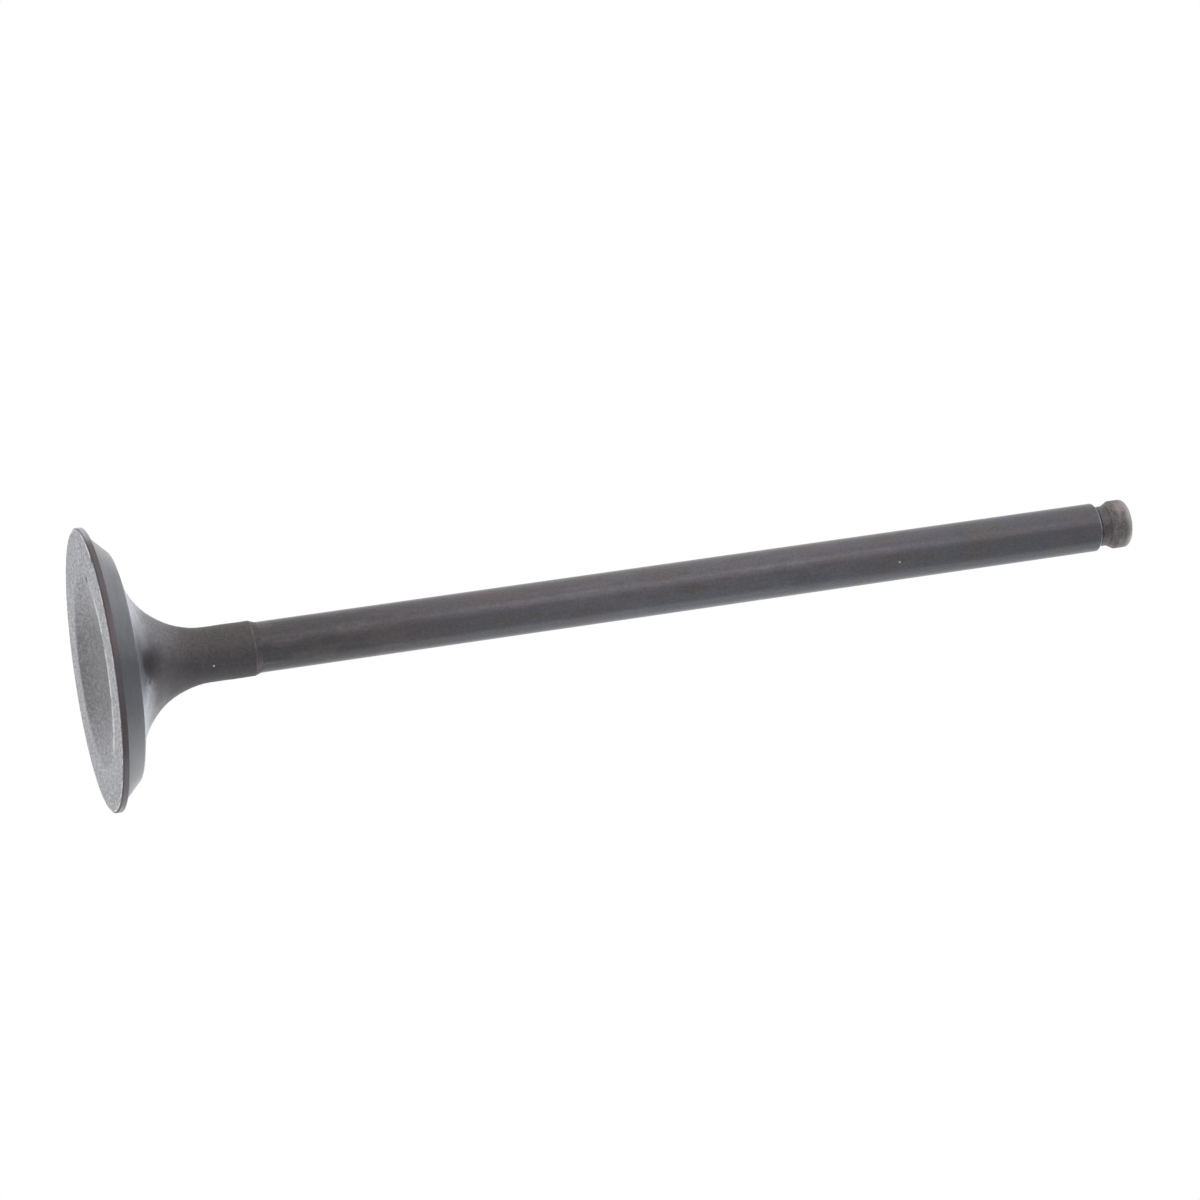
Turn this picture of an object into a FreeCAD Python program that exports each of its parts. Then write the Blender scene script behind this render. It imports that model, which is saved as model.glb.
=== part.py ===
import FreeCAD, Part
import math
import os
from collections import namedtuple

# Engine poppet valve, forged and turned in one piece, standing on its head.
# Millimetres and degrees. The origin is the centre of the combustion face, +Z runs up the stem.

# Combustion face: a flat ring around a shallow dish
head_diameter = 38.7
face_edge_chamfer = 0.15
dish_diameter = 25.0
dish_depth = 0.8
dish_edge_radius = 8.0

# Margin, the narrow flat shoulder on top of it, and the seat cone that rises from the shoulder.
# Both widths are measured across the radius, the seat's angle from the face.
margin_height = 0.95
margin_edge_radius = 0.1
shoulder_width = 0.8
seat_width = 2.85
seat_angle = 45.0
seat_inner_edge_radius = 0.3

# Underside of the head: a nearly flat cone that a large arc carries into the neck
under_head_angle = 14.0
flare_radius = 11.3

# Neck and stem: the neck stays as forged, and a short cone leads down to the ground stem
neck_diameter = 7.6
neck_length = 6.1
neck_cone_length = 0.85
stem_diameter = 6.97
overall_length = 151.5

# Keeper groove and tip, at the stem's upper end
stem_end_chamfer = 0.18
groove_diameter = 5.75
groove_floor_length = 1.7
groove_foot_radius = 0.25
tip_slope_length = 1.04
tip_slope_foot_radius = 1.0
tip_diameter = 6.95
tip_land_length = 1.56
tip_edge_radius = 0.52

# Radii and angles that follow from the sizes above
head_radius = head_diameter / 2
dish_radius = dish_diameter / 2
seat_outer_radius = head_radius - shoulder_width
seat_inner_radius = seat_outer_radius - seat_width
neck_radius = neck_diameter / 2
stem_radius = stem_diameter / 2
groove_radius = groove_diameter / 2
tip_radius = tip_diameter / 2
right_angle = math.radians(90)
seat_lean = math.radians(seat_angle)
under_head_lean = math.radians(under_head_angle)

# Heights up the axis, each worked out from the feature below it
seat_top = margin_height + seat_width * math.tan(seat_lean)
flare_corner = seat_top + (seat_inner_radius - neck_radius) * math.tan(under_head_lean)
flare_top = flare_corner + flare_radius * math.tan((right_angle - under_head_lean) / 2)
neck_top = flare_top + neck_length
stem_bottom = neck_top + neck_cone_length

# Heights down from the tip, each worked out from the feature above it
tip_land_bottom = overall_length - tip_edge_radius - tip_land_length
groove_top = tip_land_bottom - tip_slope_length
groove_bottom = groove_top - groove_floor_length
stem_top = groove_bottom - stem_end_chamfer

# A corner of the half section, and the radius of the arc that rounds it, 0 where it is sharp
Corner = namedtuple("Corner", "radius height rounding", defaults=[0])


def at(radius, height):
    """Point of the half section, in the plane through the axis."""
    return FreeCAD.Vector(radius, 0, height)


def arc_about(centre, radius, start_lean, end_lean):
    """Arc of the half section about a centre, between two angles from the +X direction."""
    leans = (start_lean, (start_lean + end_lean) / 2, end_lean)
    points = [centre + at(radius * math.cos(lean), radius * math.sin(lean)) for lean in leans]
    return Part.Arc(*points).toShape()


def dish_edges():
    """The dish is part of a large sphere, and a soft edge rolls it into the flat ring."""
    sphere_radius = (dish_radius ** 2 + dish_depth ** 2) / (2 * dish_depth)
    sphere_centre = at(0, dish_depth - sphere_radius)
    reach = sphere_radius + dish_edge_radius
    rise = dish_edge_radius - sphere_centre.z
    edge_centre = at(math.sqrt(reach ** 2 - rise ** 2), dish_edge_radius)
    meeting_lean = math.asin(rise / reach)
    bowl = arc_about(sphere_centre, sphere_radius, right_angle, meeting_lean)
    edge = arc_about(edge_centre, dish_edge_radius, meeting_lean - math.pi, -right_angle)
    return [bowl, edge]


def head_corners(ring_inner_radius):
    """Flat ring, chamfered rim, margin, its shoulder and the seat cone."""
    return [
        Corner(ring_inner_radius, 0),
        Corner(head_radius - face_edge_chamfer, 0),
        Corner(head_radius, face_edge_chamfer),
        Corner(head_radius, margin_height, margin_edge_radius),
        Corner(seat_outer_radius, margin_height),
        Corner(seat_inner_radius, seat_top, seat_inner_edge_radius),
    ]


def stem_corners():
    """Flare, forged neck, the cone at its top, the ground stem and its end chamfer."""
    return [
        Corner(neck_radius, flare_corner, flare_radius),
        Corner(neck_radius, neck_top),
        Corner(stem_radius, stem_bottom),
        Corner(stem_radius, stem_top),
        Corner(stem_radius - stem_end_chamfer, groove_bottom),
    ]


def keeper_groove_corners():
    """Square wall on the stem's side, a flat floor and a slope out to the tip land."""
    return [
        Corner(groove_radius, groove_bottom, groove_foot_radius),
        Corner(groove_radius, groove_top, tip_slope_foot_radius),
        Corner(tip_radius, tip_land_bottom),
    ]


def tip_corners():
    """Rounded edge of the tip land, then the flat end that is pushed to open the valve."""
    return [
        Corner(tip_radius, overall_length, tip_edge_radius),
        Corner(0, overall_length),
        Corner(0, dish_depth),
    ]


def rounded_corner(before, corner, after):
    """Start and end of the tangent arc at a corner, with the arc's edge if it has one."""
    here = at(corner.radius, corner.height)
    if not corner.rounding:
        return here, here, []
    to_before = (at(before.radius, before.height) - here).normalize()
    to_after = (at(after.radius, after.height) - here).normalize()
    half_angle = to_before.getAngle(to_after) / 2
    setback = corner.rounding / math.tan(half_angle)
    inward = (to_before + to_after).normalize()
    middle = here + inward * (corner.rounding / math.sin(half_angle) - corner.rounding)
    start = here + to_before * setback
    end = here + to_after * setback
    return start, end, [Part.Arc(start, middle, end).toShape()]


def edges_through(corners):
    """Straight edges from corner to corner, with a tangent arc at each rounded one."""
    edges = []
    reached = at(corners[0].radius, corners[0].height)
    neighbours = zip(corners, corners[1:], corners[2:] + corners[-1:])
    for before, corner, after in neighbours:
        start, end, arc = rounded_corner(before, corner, after)
        edges += [Part.makeLine(reached, start)] + arc
        reached = end
    return edges


def turn_valve():
    """Whole valve, its half section turned once about the axis."""
    dish = dish_edges()
    ring_inner_radius = dish[-1].lastVertex().X
    corners = head_corners(ring_inner_radius) + stem_corners()
    corners += keeper_groove_corners() + tip_corners()
    section = Part.Face(Part.Wire(dish + edges_through(corners)))
    return section.revolve(at(0, 0), FreeCAD.Vector(0, 0, 1), 360)


os.makedirs("parts", exist_ok=True)
turn_valve().exportStep("parts/valve.step")
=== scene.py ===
"""Looks of an engine poppet valve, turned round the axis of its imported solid.

The valve is one forged and ground piece that stands on its head. Sizes are in millimetres
where nothing else is said, in the solid's own frame: the origin is the centre of the
combustion face and +Z runs up the stem. The camera looks along +Y at the photograph's
angle, so the side that shows is the one towards -Y, and -X is up in the picture.
"""

import logging
import math
from dataclasses import dataclass, field, replace
from enum import Enum
from typing import Any, Sequence

import bpy
from mathutils import Matrix, Vector, noise


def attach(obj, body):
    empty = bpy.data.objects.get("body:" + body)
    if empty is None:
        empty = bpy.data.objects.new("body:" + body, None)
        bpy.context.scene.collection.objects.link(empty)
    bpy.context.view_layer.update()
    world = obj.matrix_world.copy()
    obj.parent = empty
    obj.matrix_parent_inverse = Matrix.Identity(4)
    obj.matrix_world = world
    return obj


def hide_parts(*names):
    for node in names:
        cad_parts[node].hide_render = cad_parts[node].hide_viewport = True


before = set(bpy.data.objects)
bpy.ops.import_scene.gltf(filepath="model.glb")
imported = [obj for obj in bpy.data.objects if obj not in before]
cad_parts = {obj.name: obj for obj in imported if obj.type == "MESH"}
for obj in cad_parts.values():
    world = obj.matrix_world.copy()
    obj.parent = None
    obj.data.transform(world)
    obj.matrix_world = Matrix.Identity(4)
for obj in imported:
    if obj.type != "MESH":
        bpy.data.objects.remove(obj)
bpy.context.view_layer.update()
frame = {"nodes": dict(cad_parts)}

MM = 0.001
VALVE_NODE = "valve"
BODY = "root"

Colour = tuple[float, float, float, float]
Span = tuple[float, float]
Socket = bpy.types.NodeSocket
Sockets = bpy.types.bpy_prop_collection
Number = Socket | float
Paint = Socket | Colour
Look = tuple[Socket, Socket, Socket]
Inputs = dict[str | int, Any]

log = logging.getLogger("valve")


class Zone(Enum):
    """Stretches of the surface that were finished in different ways."""

    FACE = "blasted_face"
    MARGIN = "dark_margin"
    SEAT = "ground_seat"
    NECK = "forged_neck"
    STEP = "neck_step"
    STEM = "nitrided_stem"
    GROOVE = "keeper_groove"
    TIP = "tip_land"


class Ray(Enum):
    """Kinds of ray that an object can be hidden from, by the setting that does it."""

    CAMERA = "visible_camera"
    DIFFUSE = "visible_diffuse"
    GLOSSY = "visible_glossy"
    TRANSMISSION = "visible_transmission"
    SHADOW = "visible_shadow"


def add_object(name: str, data: bpy.types.ID) -> bpy.types.Object:
    """Puts a new object into the scene.

    Args:
        name: Name of the object.
        data: Mesh, lamp or camera that it holds.

    Returns:
        The object.
    """
    made = bpy.data.objects.new(name, data)
    bpy.context.scene.collection.objects.link(made)
    return made


def hide_from(made: bpy.types.Object, *rays: Ray) -> None:
    """Hides an object from some kinds of ray."""
    for ray in rays:
        setattr(made, ray.value, False)


# ---------------------------------------------------------------- shape


@dataclass(frozen=True)
class Station:
    """Point of the half section, and the stretch of surface that leads to it.

    Args:
        radius: Distance from the axis.
        height: Distance up the axis.
        zone: Finish of the stretch.
        rounding: Radius of the arc that rounds the point off, where it is a corner.
        relief: How far the forged surface may stand in or out on the stretch.
        step: Longest distance between two rings of the mesh on the stretch.
    """

    radius: float
    height: float
    zone: Zone
    rounding: float = 0.0
    relief: float = 0.0
    step: float = 0.4

    @property
    def point(self) -> Vector:
        """Place in the plane of the half section."""
        return Vector((self.radius, self.height))

    def at(self, point: Vector) -> "Station":
        """The same stretch, leading to another point."""
        return replace(self, radius=point.x, height=point.y)


@dataclass
class HalfSection:
    """Half section of the valve, walked from the dish's centre to the tip's centre.

    Args:
        stations: Points walked so far.
        arc_step: Longest turn between two stations of an arc, in degrees.
        arc_least: Least number of steps in an arc.
    """

    stations: list[Station] = field(default_factory=list)
    arc_step: float = 5.0
    arc_least: int = 3

    def line_to(self, end: Vector, stretch: Station) -> None:
        """Walks a straight stretch.

        Args:
            end: Where it ends.
            stretch: Station whose finish, relief and step it has.
        """
        start = self.stations[-1].point
        count = max(1, math.ceil((end - start).length / stretch.step))
        self.stations += [stretch.at(start.lerp(end, i / count)) for i in range(1, count + 1)]

    def arc_to(self, centre: Vector, end: Vector, stretch: Station) -> None:
        """Walks an arc from the last station, the short way round.

        Args:
            centre: Centre of the arc.
            end: Where the arc ends.
            stretch: Station whose finish and relief it has.
        """
        first = self.stations[-1].point - centre
        last = end - centre
        lean = math.atan2(first.y, first.x)
        sweep = (math.atan2(last.y, last.x) - lean + math.pi) % math.tau - math.pi
        count = max(self.arc_least, math.ceil(abs(math.degrees(sweep)) / self.arc_step))
        for i in range(1, count + 1):
            angle = lean + sweep * i / count
            place = centre + Vector((math.cos(angle), math.sin(angle))) * last.length
            self.stations.append(stretch.at(place))

    def follow(self, corners: Sequence[Station]) -> None:
        """Walks from corner to corner and rounds each one off, apart from the last.

        Args:
            corners: Corners ahead of the last station.
        """
        for corner, after in zip(corners, corners[1:]):
            to_before = (self.stations[-1].point - corner.point).normalized()
            to_after = (after.point - corner.point).normalized()
            half_angle = to_before.angle(to_after) / 2
            setback = corner.rounding / math.tan(half_angle)
            inward = (to_before + to_after).normalized()
            centre = corner.point + inward * (corner.rounding / math.sin(half_angle))
            self.line_to(corner.point + to_before * setback, corner)
            self.arc_to(centre, corner.point + to_after * setback, corner)
        self.line_to(corners[-1].point, corners[-1])


@dataclass(frozen=True)
class CombustionFace:
    """Shallow forged dish in the flat blasted ring.

    Args:
        dish_radius: Radius at which the dish's sphere would reach the ring.
        dish_depth: Depth of the dish at its centre.
        dish_edge_radius: Radius of the soft edge that rolls the dish into the ring.
        dish_relief: Unevenness of the forged dish.
        step: Distance between the rings of the mesh.
    """

    dish_radius: float = 12.5
    dish_depth: float = 0.8
    dish_edge_radius: float = 8.0
    dish_relief: float = 0.03
    step: float = 0.5

    def walk(self, section: HalfSection) -> None:
        """Walks the dish and its soft edge, out to the flat ring.

        Args:
            section: Half section that grows.
        """
        sphere_radius = (self.dish_radius**2 + self.dish_depth**2) / (2 * self.dish_depth)
        sphere_height = self.dish_depth - sphere_radius
        reach = sphere_radius + self.dish_edge_radius
        rise = self.dish_edge_radius - sphere_height
        ring_start = Station(math.sqrt(reach**2 - rise**2), 0, Zone.FACE)
        meeting = ring_start.radius * sphere_radius / reach
        count = math.ceil(meeting / self.step)
        for i in range(count + 1):
            radius = meeting * i / count
            height = sphere_height + math.sqrt(sphere_radius**2 - radius**2)
            relief = self.dish_relief * (1 - (i / count) ** 2)
            section.stations.append(Station(radius, height, Zone.FACE, relief=relief))
        edge_centre = Vector((ring_start.radius, self.dish_edge_radius))
        section.arc_to(edge_centre, ring_start.point, ring_start)


@dataclass(frozen=True)
class SeatBand:
    """Margin, the narrow shoulder on top of it, and the ground seat cone.

    Args:
        head_radius: Radius of the head.
        edge_chamfer: Chamfer where the ring meets the margin.
        margin_height: Height of the margin above the face.
        margin_rounding: Rounding of the margin's upper edge.
        shoulder_width: Width of the flat shoulder across the radius.
        seat_width: Width of the seat across the radius, which is its height too.
        seat_rounding: Rounding of the seat's inner edge.
        rim_rounding: Rounding where the face rolls into the chamfer.
        edge_break: Rounding of the edges that are only broken.
    """

    head_radius: float = 19.35
    edge_chamfer: float = 0.22
    margin_height: float = 0.95
    margin_rounding: float = 0.1
    shoulder_width: float = 0.8
    seat_width: float = 2.85
    seat_rounding: float = 0.3
    rim_rounding: float = 0.2
    edge_break: float = 0.03

    @property
    def foot_radius(self) -> float:
        """Radius at which the seat rises from the shoulder."""
        return self.head_radius - self.shoulder_width

    @property
    def top_radius(self) -> float:
        """Radius of the seat's inner edge."""
        return self.foot_radius - self.seat_width

    @property
    def top_height(self) -> float:
        """Height of the seat's inner edge."""
        return self.margin_height + self.seat_width

    def corners(self) -> list[Station]:
        """Corners of the band.

        Returns:
            The corners from the rim to the seat's inner edge.
        """
        rim, chamfer, shoulder = self.head_radius, self.edge_chamfer, self.margin_height
        return [
            Station(rim - chamfer, 0, Zone.FACE, self.rim_rounding),
            Station(rim, chamfer, Zone.MARGIN, self.edge_break),
            Station(rim, shoulder, Zone.MARGIN, self.margin_rounding),
            Station(self.foot_radius, shoulder, Zone.SEAT, self.edge_break),
            Station(self.top_radius, self.top_height, Zone.SEAT, self.seat_rounding),
        ]


@dataclass(frozen=True)
class FlaredNeck:
    """Underside of the head, the large arc that carries it into the neck, and the neck.

    Args:
        cone_angle: Angle of the nearly flat cone under the head, in degrees.
        flare_radius: Radius of the arc between that cone and the neck.
        neck_radius: Radius of the neck, which stays as forged.
        neck_length: Length of the straight neck.
        step_length: Length of the short cone from the neck down to the ground stem.
        relief: Unevenness of the forged surface.
        edge_break: Rounding of the edges that are only broken.
    """

    cone_angle: float = 14.0
    flare_radius: float = 11.3
    neck_radius: float = 3.8
    neck_length: float = 6.1
    step_length: float = 0.85
    relief: float = 0.035
    edge_break: float = 0.15

    def corners(self, seat: SeatBand, stem_radius: float) -> list[Station]:
        """Corners from the seat to the ground stem.

        Args:
            seat: Seat that the flare starts from.
            stem_radius: Radius of the ground stem.

        Returns:
            The flare's corner, the neck's upper edge and the foot of the stem.
        """
        run = seat.top_radius - self.neck_radius
        flare = seat.top_height + run * math.tan(math.radians(self.cone_angle))
        setback = self.flare_radius * math.tan(math.radians(90 - self.cone_angle) / 2)
        neck_top = flare + setback + self.neck_length
        corner = Station(self.neck_radius, flare, Zone.NECK, self.flare_radius, self.relief)
        return [
            corner,
            replace(corner, height=neck_top, rounding=self.edge_break),
            Station(stem_radius, neck_top + self.step_length, Zone.STEP, self.edge_break),
        ]


@dataclass(frozen=True)
class StemAndTip:
    """Ground stem, the keeper groove near its end, and the tip land.

    Args:
        radius: Radius of the ground stem.
        overall_height: Height of the tip above the face.
        end_chamfer: Chamfer where the stem meets the groove.
        groove_radius: Radius of the groove's floor.
        groove_floor: Length of the groove's floor.
        groove_foot: Rounding at the groove's square wall.
        slope_length: Length of the slope from the groove out to the tip land.
        slope_foot: Rounding at the foot of the slope.
        tip_radius: Radius of the tip land.
        tip_length: Length of the tip land below its rounded edge.
        tip_rounding: Rounding of the tip's edge.
        edge_break: Rounding of the edges that are only broken.
        step: Distance between the rings of the mesh on the ground stem.
    """

    radius: float = 3.485
    overall_height: float = 151.5
    end_chamfer: float = 0.18
    groove_radius: float = 2.875
    groove_floor: float = 1.7
    groove_foot: float = 0.25
    slope_length: float = 1.04
    slope_foot: float = 1.0
    tip_radius: float = 3.475
    tip_length: float = 1.56
    tip_rounding: float = 0.52
    edge_break: float = 0.04
    step: float = 2.0

    def corners(self) -> list[Station]:
        """Corners of the stem's upper end, the groove and the tip land.

        Returns:
            The corners from the stem's upper end to the axis.
        """
        tip = self.overall_height
        land = tip - self.tip_rounding - self.tip_length
        slope = land - self.slope_length
        wall = slope - self.groove_floor
        end = wall - self.end_chamfer
        return [
            Station(self.radius, end, Zone.STEM, self.edge_break, step=self.step),
            Station(self.radius - self.end_chamfer, wall, Zone.STEM, self.edge_break),
            Station(self.groove_radius, wall, Zone.GROOVE, self.groove_foot),
            Station(self.groove_radius, slope, Zone.GROOVE, self.slope_foot),
            Station(self.tip_radius, land, Zone.GROOVE, self.edge_break),
            Station(self.tip_radius, tip, Zone.TIP, self.tip_rounding),
            Station(0, tip, Zone.TIP),
        ]


@dataclass(frozen=True)
class ForgedSkin:
    """Slight unevenness that the forging dies and the scale leave on unground surfaces.

    Args:
        wave: Length of the unevenness.
        layers: Number of layers of noise in it.
        fading: How fast the finer layers grow fainter.
        fineness: How much finer each layer is than the one before.
        shift: Where in the noise the valve lies.
    """

    wave: float = 2.6
    layers: int = 3
    fading: float = 1.0
    fineness: float = 2.0
    shift: tuple[float, float, float] = (17.0, 5.0, 31.0)

    def height_at(self, place: Vector) -> float:
        """How far the skin stands out at a place, from about -1 to 1."""
        spot = place / self.wave + Vector(self.shift)
        return noise.fractal(spot, self.fading, self.fineness, self.layers)


@dataclass(frozen=True)
class PoppetValve:
    """The whole valve: one closed mesh with a finish for each zone.

    Args:
        face: Combustion face.
        seat: Margin, shoulder and seat.
        neck: Flare and neck.
        stem: Ground stem and tip.
        skin: Unevenness of the forged surfaces.
        segments: Number of segments round the axis.
    """

    face: CombustionFace = CombustionFace()
    seat: SeatBand = SeatBand()
    neck: FlaredNeck = FlaredNeck()
    stem: StemAndTip = StemAndTip()
    skin: ForgedSkin = ForgedSkin()
    segments: int = 192

    def half_section(self) -> list[Station]:
        """Walks every sub-assembly's corners in order.

        Returns:
            The stations from the dish's centre to the tip's centre.
        """
        section = HalfSection()
        self.face.walk(section)
        neck = self.neck.corners(self.seat, self.stem.radius)
        section.follow(self.seat.corners() + neck + self.stem.corners())
        return section.stations

    def place_on(self, station: Station, outward: Vector, turn: float) -> Vector:
        """Place of one vertex, with the forged skin's unevenness.

        Args:
            station: Station of the half section.
            outward: Direction out of the surface, in the plane of the half section.
            turn: Angle round the axis.

        Returns:
            The place.
        """
        across = Vector((math.cos(turn), math.sin(turn), 0))
        place = across * station.radius + Vector((0, 0, station.height))
        if not station.relief:
            return place
        push = station.relief * self.skin.height_at(place)
        return place + (across * outward.x + Vector((0, 0, outward.y))) * push

    def band_between(self, low: list[int], high: list[int]) -> list[tuple[int, ...]]:
        """Faces between two neighbouring rings, of which either may be a pole.

        Args:
            low: Vertices of the ring that comes first.
            high: Vertices of the ring that comes next.

        Returns:
            Quads, or triangles round a pole, that face outwards.
        """
        pairs = [(i, (i + 1) % self.segments) for i in range(self.segments)]
        if len(low) == 1:
            return [(low[0], high[j], high[i]) for i, j in pairs]
        if len(high) == 1:
            return [(low[i], low[j], high[0]) for i, j in pairs]
        return [(low[i], low[j], high[j], high[i]) for i, j in pairs]

    def build(self) -> bpy.types.Object:
        """Turns the half section round the axis into a closed mesh.

        Returns:
            The smooth shaded valve, whose faces carry the numbers of their zones.
        """
        stations = self.half_section()
        behind, ahead = stations[:1] + stations, stations[1:] + stations[-1:]
        points: list[Vector] = []
        rings: list[list[int]] = []
        for before, here, after in zip(behind, stations, ahead):
            along = (after.point - before.point).normalized()
            outward = Vector((along.y, -along.x))
            count = self.segments if here.radius > 0 else 1
            turns = [math.tau * i / self.segments for i in range(count)]
            rings.append(list(range(len(points), len(points) + count)))
            points += [self.place_on(here, outward, turn) * MM for turn in turns]
        faces: list[tuple[int, ...]] = []
        zones: list[int] = []
        for station, low, high in zip(stations[1:], rings, rings[1:]):
            band = self.band_between(low, high)
            faces += band
            zones += [list(Zone).index(station.zone)] * len(band)
        mesh = bpy.data.meshes.new("engine_valve")
        mesh.from_pydata(points, [], faces)
        mesh.polygons.foreach_set("material_index", zones)
        mesh.shade_smooth()
        mesh.validate()
        valve = add_object("engine_valve", mesh)
        flat_normals = valve.modifiers.new("ground faces stay flat", "WEIGHTED_NORMAL")
        flat_normals.mode = "FACE_AREA"
        return valve

    def dress(self, valve: bpy.types.Object, finishes: dict[Zone, "Finish"]) -> None:
        """Gives each zone its finish."""
        for zone in Zone:
            valve.data.materials.append(finishes[zone].material(zone.value))


# ---------------------------------------------------------------- node sheets

FLOAT, VECTOR = "NodeSocketFloat", "NodeSocketVector"
NOISE_DETAIL = 3.0
NOISE_COARSENESS = 0.6
NOISE_MIDDLE = 0.5
NOISE_RANGE = (0.3, 0.7)


def tone(*shown: float) -> Colour:
    """Linear colour of a tone as it shows, by the usual curve of a screen.

    Args:
        *shown: Red, green and blue as they show, from 0 to 255.

    Returns:
        The linear colour with full alpha.
    """
    foot, slope, lift, power = 0.04045, 12.92, 0.055, 2.4
    shares = [channel / 255 for channel in shown]
    red, green, blue = (
        part / slope if part <= foot else ((part + lift) / (1 + lift)) ** power for part in shares
    )
    return (red, green, blue, 1.0)


WHITE = tone(255, 255, 255)


def emptied(owner: bpy.types.Material | bpy.types.World) -> bpy.types.NodeTree:
    """Node tree of a material or world, cleared of the nodes that it starts with.

    Args:
        owner: Material or world.

    Returns:
        The empty tree.
    """
    owner.use_nodes = True
    owner.node_tree.nodes.clear()
    return owner.node_tree


@dataclass
class NodeSheet:
    """Node tree with short calls that place nodes and join them.

    Args:
        tree: Node tree that is filled.
    """

    tree: bpy.types.NodeTree

    def fill(self, node: bpy.types.Node, inputs: Inputs) -> bpy.types.Node:
        """Sets inputs of a node, or joins them to other sockets.

        Args:
            node: Node to fill.
            inputs: Value or socket for each input, by name or number.

        Returns:
            The same node.
        """
        for name, value in inputs.items():
            if isinstance(value, Socket):
                self.tree.links.new(value, node.inputs[name])
            else:
                node.inputs[name].default_value = value
        return node

    def node(self, kind: str, inputs: Inputs | None = None, **settings: Any) -> bpy.types.Node:
        """Places a node.

        Args:
            kind: Type name of the node.
            inputs: Value or socket for each input, by name or number.
            **settings: Properties of the node.

        Returns:
            The node.
        """
        made = self.tree.nodes.new(kind)
        for name, value in settings.items():
            setattr(made, name, value)
        return self.fill(made, inputs or {})

    def out(
        self, kind: str, inputs: Inputs | None = None, output: int | str = 0, **settings: Any
    ) -> Socket:
        """One output of a new node."""
        return self.node(kind, inputs, **settings).outputs[output]

    def reckon(self, operation: str, *values: Number, clamp: bool = False) -> Socket:
        """Result of a Math node."""
        inputs = dict(enumerate(values))
        return self.out("ShaderNodeMath", inputs, operation=operation, use_clamp=clamp)

    def split(self, vector: Socket) -> Sockets:
        """The three parts of a vector."""
        return self.node("ShaderNodeSeparateXYZ", {0: vector}).outputs

    def join(self, x: Number, y: Number, z: Number) -> Socket:
        """Vector of three parts."""
        return self.out("ShaderNodeCombineXYZ", {0: x, 1: y, 2: z})

    def length(self, vector: Socket) -> Socket:
        """Length of a vector."""
        return self.out("ShaderNodeVectorMath", {0: vector}, "Value", operation="LENGTH")

    def noise_at(self, place: Socket, scale: Number, coarseness: Number) -> Socket:
        """Noise at a place, whose values lie about NOISE_MIDDLE."""
        inputs = {"Vector": place, "Scale": scale, "Detail": NOISE_DETAIL}
        return self.out("ShaderNodeTexNoise", {**inputs, "Roughness": coarseness})

    def blend(self, share: Number, first: Paint, second: Paint, how: str = "MIX") -> Socket:
        """Colour between two others.

        Args:
            share: Share of the second colour.
            first: First colour.
            second: Second colour.
            how: How the second colour is laid on.

        Returns:
            The blended colour.
        """
        inputs = {0: share, 6: first, 7: second}
        return self.out("ShaderNodeMix", inputs, 2, data_type="RGBA", blend_type=how)

    def remap(
        self, value: Number, low: float, high: float, to_low: float = 0, to_high: float = 1
    ) -> Socket:
        """Value moved smoothly from one range to another and held at its ends.

        Args:
            value: Value to remap.
            low: Start of the range it comes from.
            high: End of that range.
            to_low: Result at the start.
            to_high: Result at the end.

        Returns:
            The remapped value.
        """
        inputs = {0: value, 1: low, 2: high, 3: to_low, 4: to_high}
        return self.out("ShaderNodeMapRange", inputs, interpolation_type="SMOOTHSTEP")

    def spread(self, grain: Socket, to: Span) -> Socket:
        """Noise spread over a range of its own."""
        return self.remap(grain, *NOISE_RANGE, *to)

    def effect(self, effect: "Effect", inputs: Inputs) -> Sockets:
        """Outputs of a shared effect, placed with its own values."""
        return self.node("ShaderNodeGroup", inputs, node_tree=effect.group()).outputs

    def show(self, share: Number, first: Socket, second: Socket, kind: str) -> None:
        """Puts a mix of two shaders out."""
        mixed = self.out("ShaderNodeMixShader", {0: share, 1: first, 2: second})
        self.node(kind, {0: mixed})


class Effect:
    """Surface effect that several finishes share, built once as a node group.

    Each kind names its group, its inputs with what they start from, None being a vector,
    and its outputs with their types.
    """

    title = "effect"
    takes: dict[str, float | None] = {}
    gives: dict[str, str] = {}

    def group(self) -> bpy.types.NodeTree:
        """Node group of the effect, made at its first use.

        Returns:
            The node group with its named inputs and outputs.
        """
        known = bpy.data.node_groups.get(self.title)
        if known:
            return known
        tree = bpy.data.node_groups.new(self.title, "ShaderNodeTree")
        for name, value in self.takes.items():
            kind = VECTOR if value is None else FLOAT
            socket = tree.interface.new_socket(name, in_out="INPUT", socket_type=kind)
            if value is not None:
                socket.default_value = value
        for name, kind in self.gives.items():
            tree.interface.new_socket(name, in_out="OUTPUT", socket_type=kind)
        sheet = NodeSheet(tree)
        made = self.draw(sheet, sheet.node("NodeGroupInput").outputs)
        sheet.node("NodeGroupOutput", made)
        return tree

    def draw(self, sheet: NodeSheet, entry: Sockets) -> Inputs:
        """Nodes of the effect, which each kind of effect draws for itself."""
        raise NotImplementedError


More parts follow.
